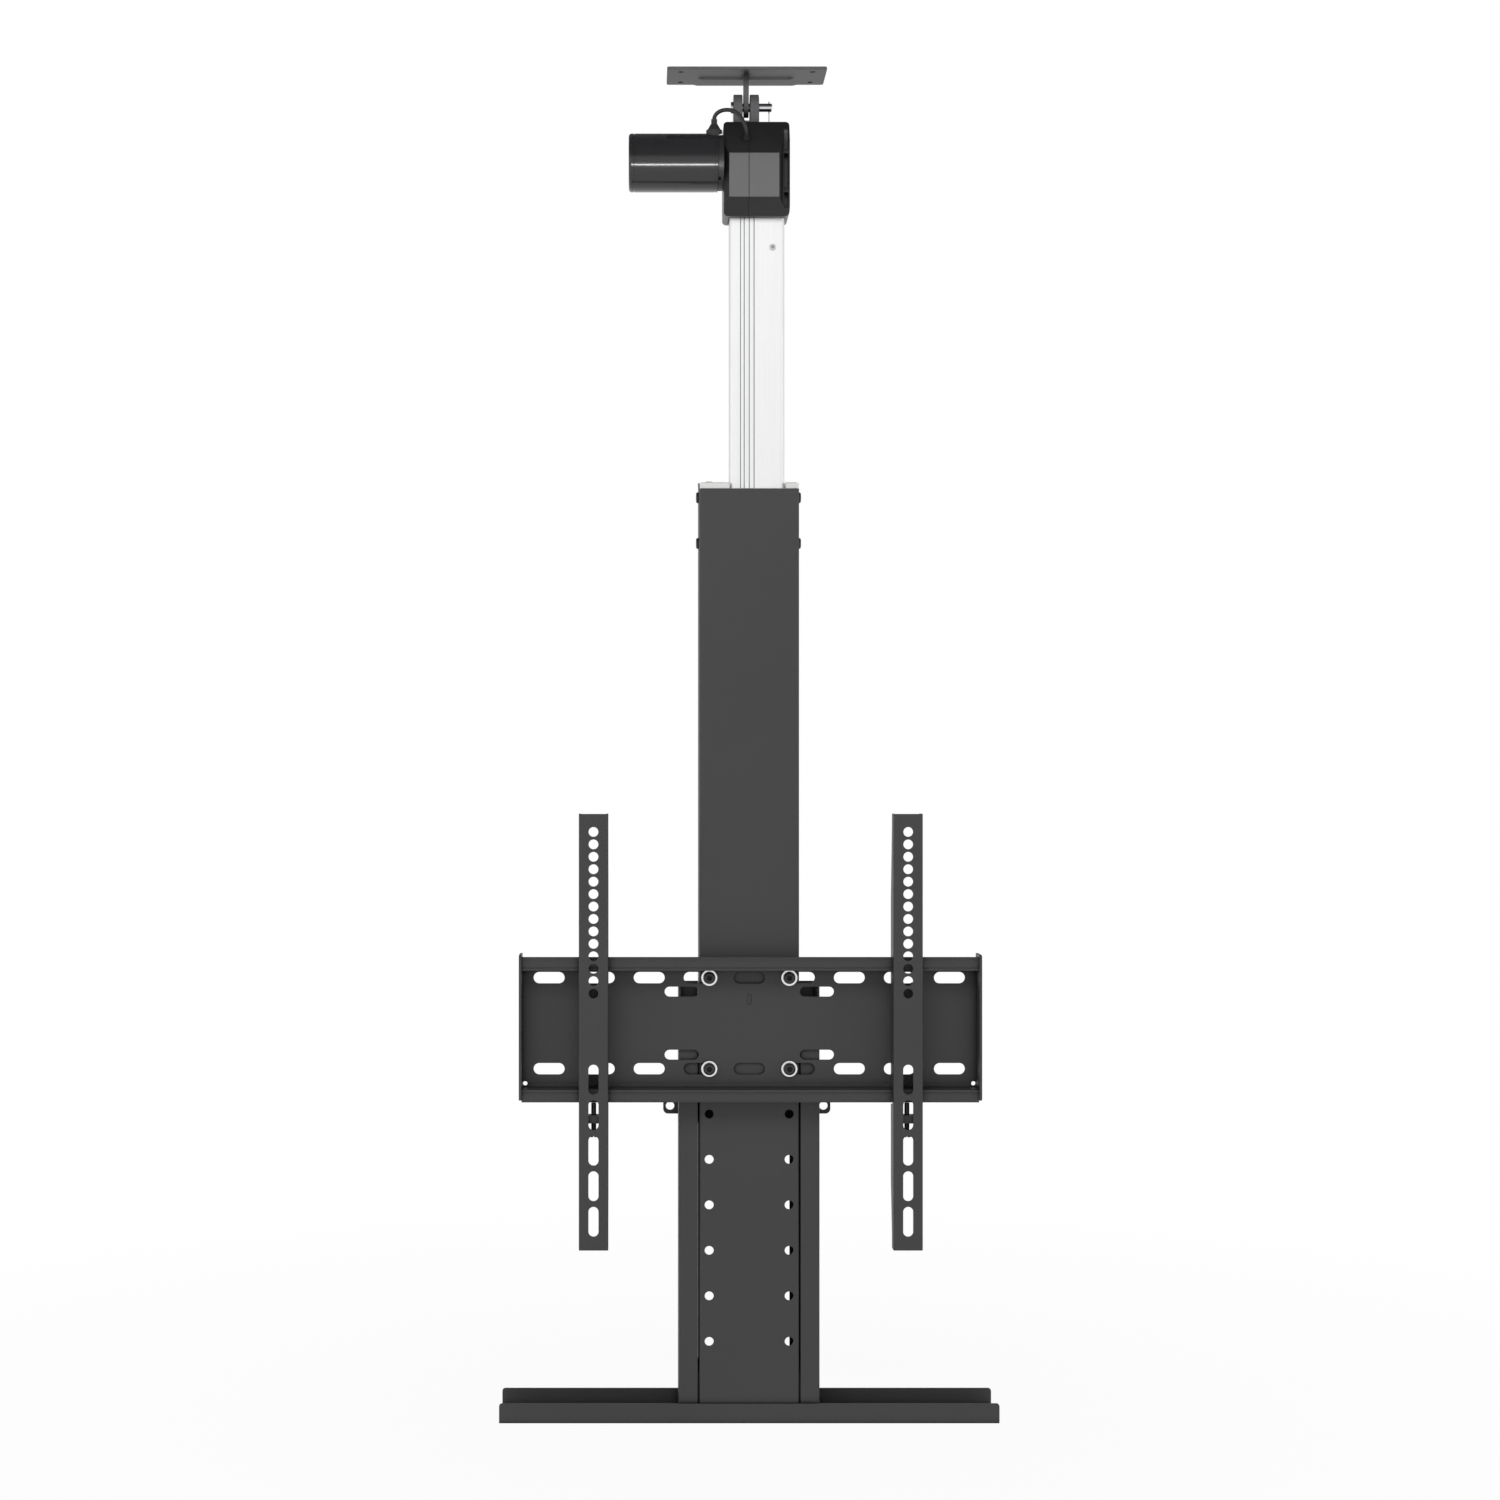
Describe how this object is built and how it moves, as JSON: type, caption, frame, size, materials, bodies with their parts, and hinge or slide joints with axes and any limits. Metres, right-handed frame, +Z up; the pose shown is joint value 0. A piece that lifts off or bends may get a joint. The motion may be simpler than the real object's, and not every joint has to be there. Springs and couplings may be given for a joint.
{
  "type": "electric tv lift",
  "caption": "Tall electric lift for a flat screen: foot channel, guide rails, sliding column with a slotted bracket and two arms, spindle actuator, motor and top plate.",
  "frame": {"origin": "centre of the underside of the foot channel", "axes": "+Z up along the column, +X along the foot channel to the viewer's right, +Y towards the back, so the screen side faces -Y"},
  "size_m": [0.5, 0.1128, 1.3565],
  "materials": {
    "black_steel": "fine satin powder coat",
    "bracket_steel": "fine satin powder coat",
    "black_cast": "satin paint",
    "black_screw": "black oxide",
    "zinc_steel": "bright zinc",
    "bright_steel": "bright",
    "aluminium": "satin anodised",
    "bronze": "machined",
    "white_plastic": "matt",
    "black_plastic": "fine spark texture",
    "motor_gloss": "gloss black paint",
    "cord_rubber": "matt",
    "rubber": "matt",
    "board": "satin"
  },
  "bodies": {
    "base": {"foot_channel": "black_steel", "foot_screws": "zinc_steel", "foot_nuts": "zinc_steel", "guide_rail_right": "black_steel", "guide_rail_left": "black_steel", "rear_strap": "black_steel", "strap_screws": "black_screw", "rail_glide_right": "black_plastic", "rail_glide_left": "black_plastic", "rail_glide_screws": "black_screw", "stop_buffers": "rubber"},
    "column": {"column": "black_steel", "column_glide_right": "black_plastic", "column_glide_left": "black_plastic", "column_glide_screws": "black_screw", "top_guide": "white_plastic", "top_guide_screws": "black_screw", "rod_anchor": "black_steel", "anchor_pin": "bright_steel", "anchor_clip": "bright_steel", "rod_eye": "bright_steel", "push_rod": "bright_steel", "drive_nut": "bronze", "bracket_plate": "bracket_steel", "bracket_bolts": "black_screw", "bracket_washers": "zinc_steel", "bracket_nuts": "zinc_steel"},
    "left_arm": {"arm_left": "bracket_steel"},
    "right_arm": {"arm_right": "bracket_steel"},
    "left_lock": {"lock_screw_left": "black_screw"},
    "right_lock": {"lock_screw_right": "black_screw"},
    "actuator": {"actuator_profile": "aluminium", "profile_screw": "bright_steel", "profile_end_cap": "black_plastic", "limit_switch_strip": "board", "gearbox_shell_left": "black_plastic", "gearbox_shell_right": "black_plastic", "gearbox_screws": "black_screw", "spindle_bearing": "bright_steel", "motor_can": "motor_gloss", "motor_flange": "black_plastic", "motor_lead": "cord_rubber", "lead_grommet": "cord_rubber", "lead_gland": "cord_rubber", "clevis": "black_cast", "clevis_pin": "bright_steel", "pin_ring": "bright_steel"},
    "spindle_set": {"spindle": "bright_steel", "worm_wheel": "bronze"},
    "top_plate": {"top_plate": "black_steel"}
  },
  "joints": [
    {"name": "column_lift", "type": "slide", "parent": "base", "child": "column", "axis": [0, 0, 1], "range_m": [0, 0.26]},
    {"name": "actuator_stroke", "type": "slide", "parent": "column", "child": "actuator", "axis": [0, 0, 1], "range_m": [-0.26, 0]},
    {"name": "spindle_turn", "type": "hinge", "parent": "actuator", "child": "spindle_set", "pos_m": [-0.002, 0, 0.9], "axis": [0, 0, 1], "range_deg": [-5, 15605]},
    {"name": "top_plate_tilt", "type": "hinge", "parent": "actuator", "child": "top_plate", "pos_m": [-0.002, 0, 1.3225], "axis": [1, 0, 0], "range_deg": [-30, 30]},
    {"name": "left_arm_slide", "type": "slide", "parent": "column", "child": "left_arm", "axis": [1, 0, 0], "range_m": [-0.055, 0.055]},
    {"name": "right_arm_slide", "type": "slide", "parent": "column", "child": "right_arm", "axis": [1, 0, 0], "range_m": [-0.055, 0.055]},
    {"name": "left_lock_turn", "type": "hinge", "parent": "left_arm", "child": "left_lock", "pos_m": [-0.155, -0.05975, 0.308], "axis": [0, 0, 1], "range_deg": [0, 1080]},
    {"name": "right_lock_turn", "type": "hinge", "parent": "right_arm", "child": "right_lock", "pos_m": [0.155, -0.05975, 0.308], "axis": [0, 0, 1], "range_deg": [0, 1080]}
  ],
  "couplings": [
    {"joint": "actuator_stroke", "follows": "column_lift", "ratio": -1},
    {"joint": "spindle_turn", "follows": "column_lift", "rad_per_m": 1047.2}
  ]
}
